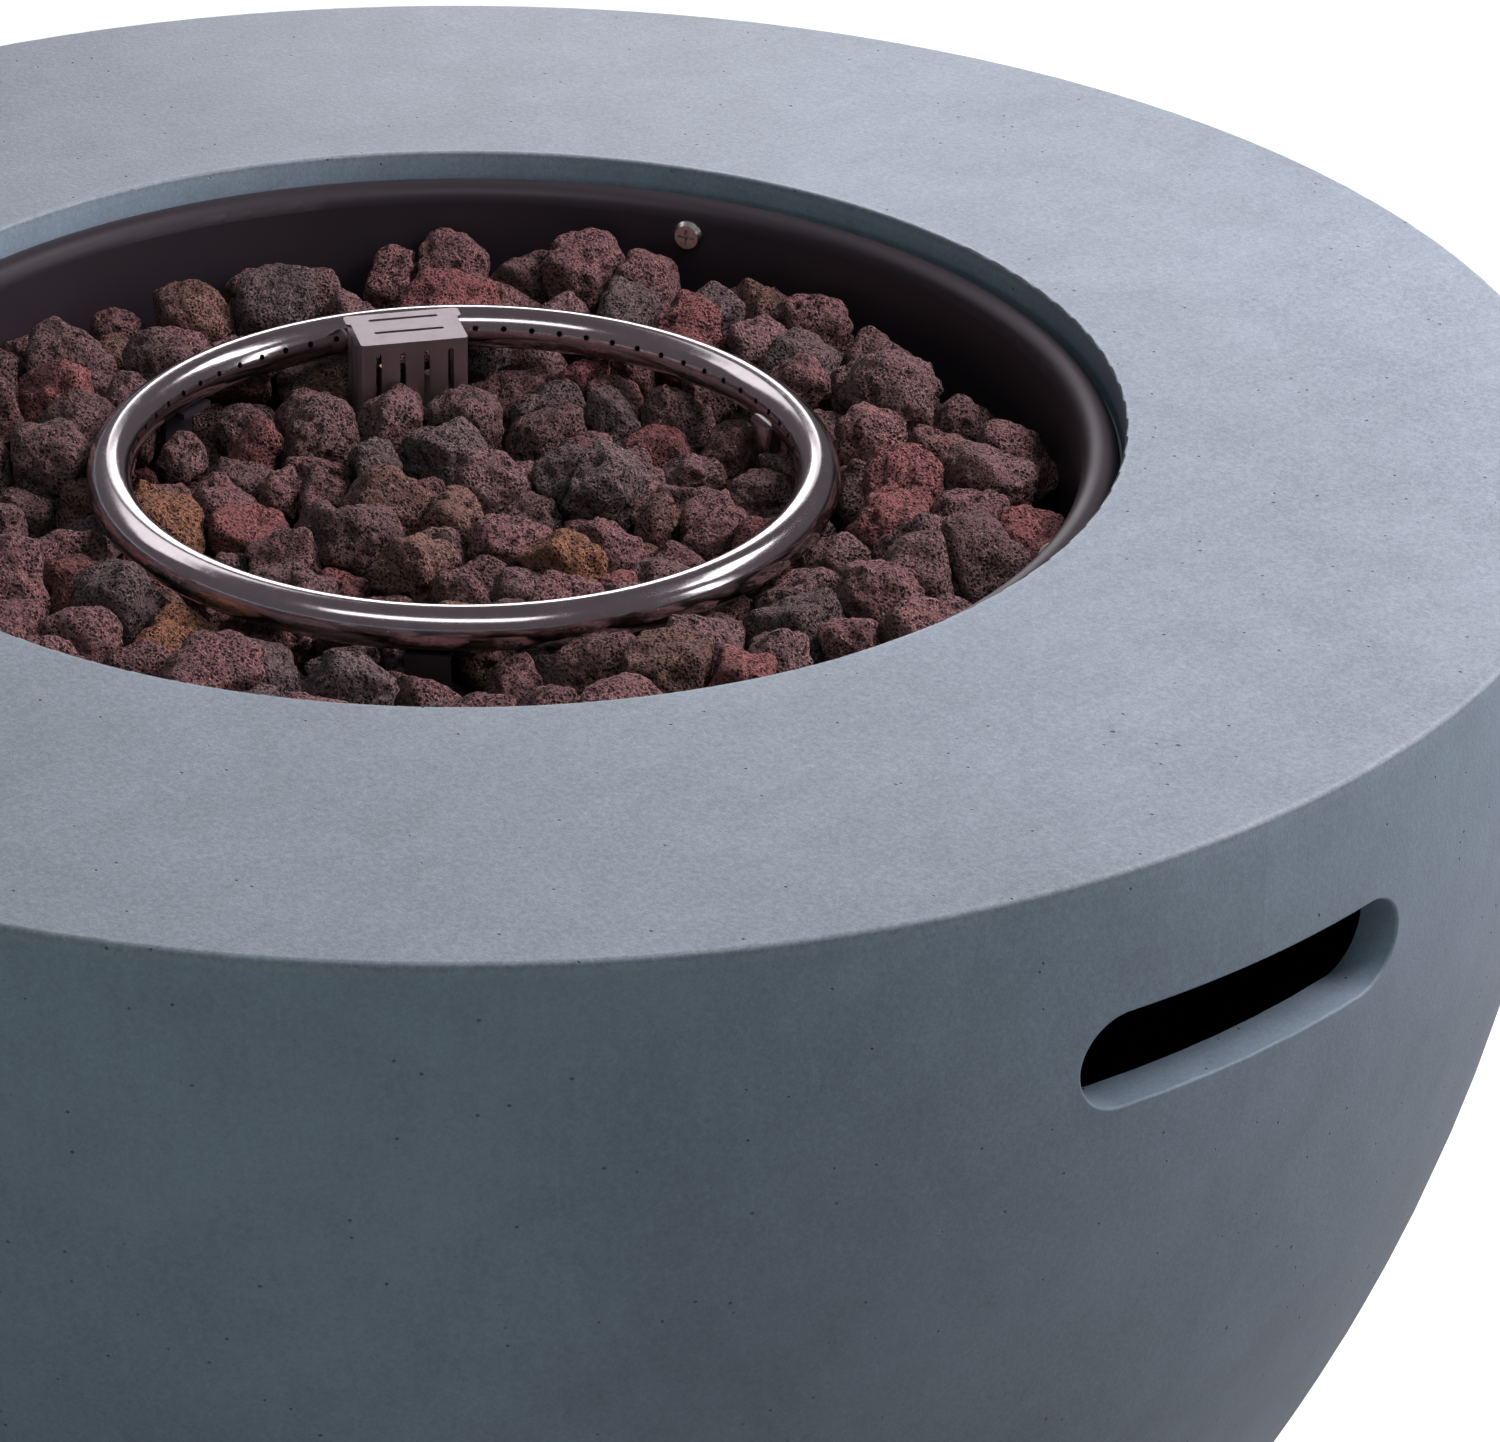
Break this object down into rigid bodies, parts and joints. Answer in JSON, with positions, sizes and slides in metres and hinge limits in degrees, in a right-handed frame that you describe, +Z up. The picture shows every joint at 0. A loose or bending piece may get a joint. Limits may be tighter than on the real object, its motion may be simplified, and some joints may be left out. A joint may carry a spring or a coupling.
{
  "type": "gas fire pit",
  "caption": "Round concrete bowl gas fire pit with a steel burner pan, ring burner in lava rock, pilot, valve knob, igniter and hand slots.",
  "frame": {"origin": "middle of the circle that the four rubber feet stand on, on the ground", "axes": "+Z up; the two hand slots look to +X and -X; the control panel faces -Y and the hose outlet +Y"},
  "size_m": [0.7134, 0.7134, 0.388],
  "materials": {
    "concrete": "cast, matt, grey with a blue tint, finely pitted",
    "rubber": "matt",
    "black_rubber": "silicone sleeve, satin",
    "zinc_steel": "zinc plated",
    "brass": "machined",
    "black_steel": "smooth heat-proof black paint, semi gloss",
    "galvanised_steel": "galvanised, dull",
    "stainless": "polished stainless steel",
    "cast_aluminium": "cast and drawn aluminium",
    "copper_tone": "copper and steel probe",
    "white_ceramic": "unglazed ceramic",
    "nylon": "grey nylon plug",
    "pale_print": "pale inlay",
    "black_plastic": "moulded, fine texture",
    "red_plastic": "moulded, glossy",
    "lava": "porous lava rock, dark red-brown and charcoal"
  },
  "bodies": {
    "bowl": {"bowl_shell": "concrete", "rubber_feet": "rubber", "foot_screws": "zinc_steel", "foot_inserts": "brass", "hose_grommet": "rubber", "burner_pan": "black_steel", "pan_screws": "zinc_steel", "pan_anchors": "nylon", "heat_shield": "galvanised_steel", "shield_spacers": "galvanised_steel", "shield_screws": "zinc_steel", "shield_nuts": "zinc_steel", "burner_ring": "stainless", "inlet_pipe": "galvanised_steel", "inlet_lock_nut": "brass", "ring_brackets": "galvanised_steel", "bracket_screws": "zinc_steel", "air_mixer": "galvanised_steel", "gas_jet": "brass", "pilot_cover": "stainless", "pilot_cover_screws": "zinc_steel", "pilot_bracket": "galvanised_steel", "pilot_bracket_screws": "zinc_steel", "flame_sensor": "copper_tone", "electrode_ceramic": "white_ceramic", "electrode_wire": "stainless", "control_panel": "stainless", "panel_screws": "zinc_steel", "panel_anchors": "nylon", "dial_ring": "pale_print", "valve_body": "cast_aluminium", "valve_bonnet": "brass", "valve_screws": "zinc_steel", "igniter_barrel": "black_plastic", "igniter_nut": "black_plastic", "gas_inlet": "brass", "gas_tube": "cast_aluminium", "gas_tube_nuts": "brass", "sensor_lead_nut": "brass", "sensor_lead": "copper_tone", "spark_lead": "black_rubber", "lava_rocks": "lava"},
    "plunger": {"safety_plunger": "brass"},
    "knob": {"valve_stem": "brass", "control_knob": "black_plastic", "knob_marker": "pale_print"},
    "igniter_button": {"igniter_button": "red_plastic"}
  },
  "joints": [
    {"name": "knob_push", "type": "slide", "parent": "bowl", "child": "plunger", "axis": [0, 0.9571, 0.2899], "range_m": [0, 0.004], "stiffness_N_per_m": 1500, "springref_m": -0.003},
    {"name": "knob_turn", "type": "hinge", "parent": "plunger", "child": "knob", "pos_m": [-0.022, -0.32192, 0.17561], "axis": [0, -0.9571, -0.2899], "range_deg": [0, 180]},
    {"name": "igniter_press", "type": "slide", "parent": "bowl", "child": "igniter_button", "axis": [0, 0.9571, 0.2899], "range_m": [0, 0.005], "stiffness_N_per_m": 1000, "springref_m": -0.003}
  ]
}
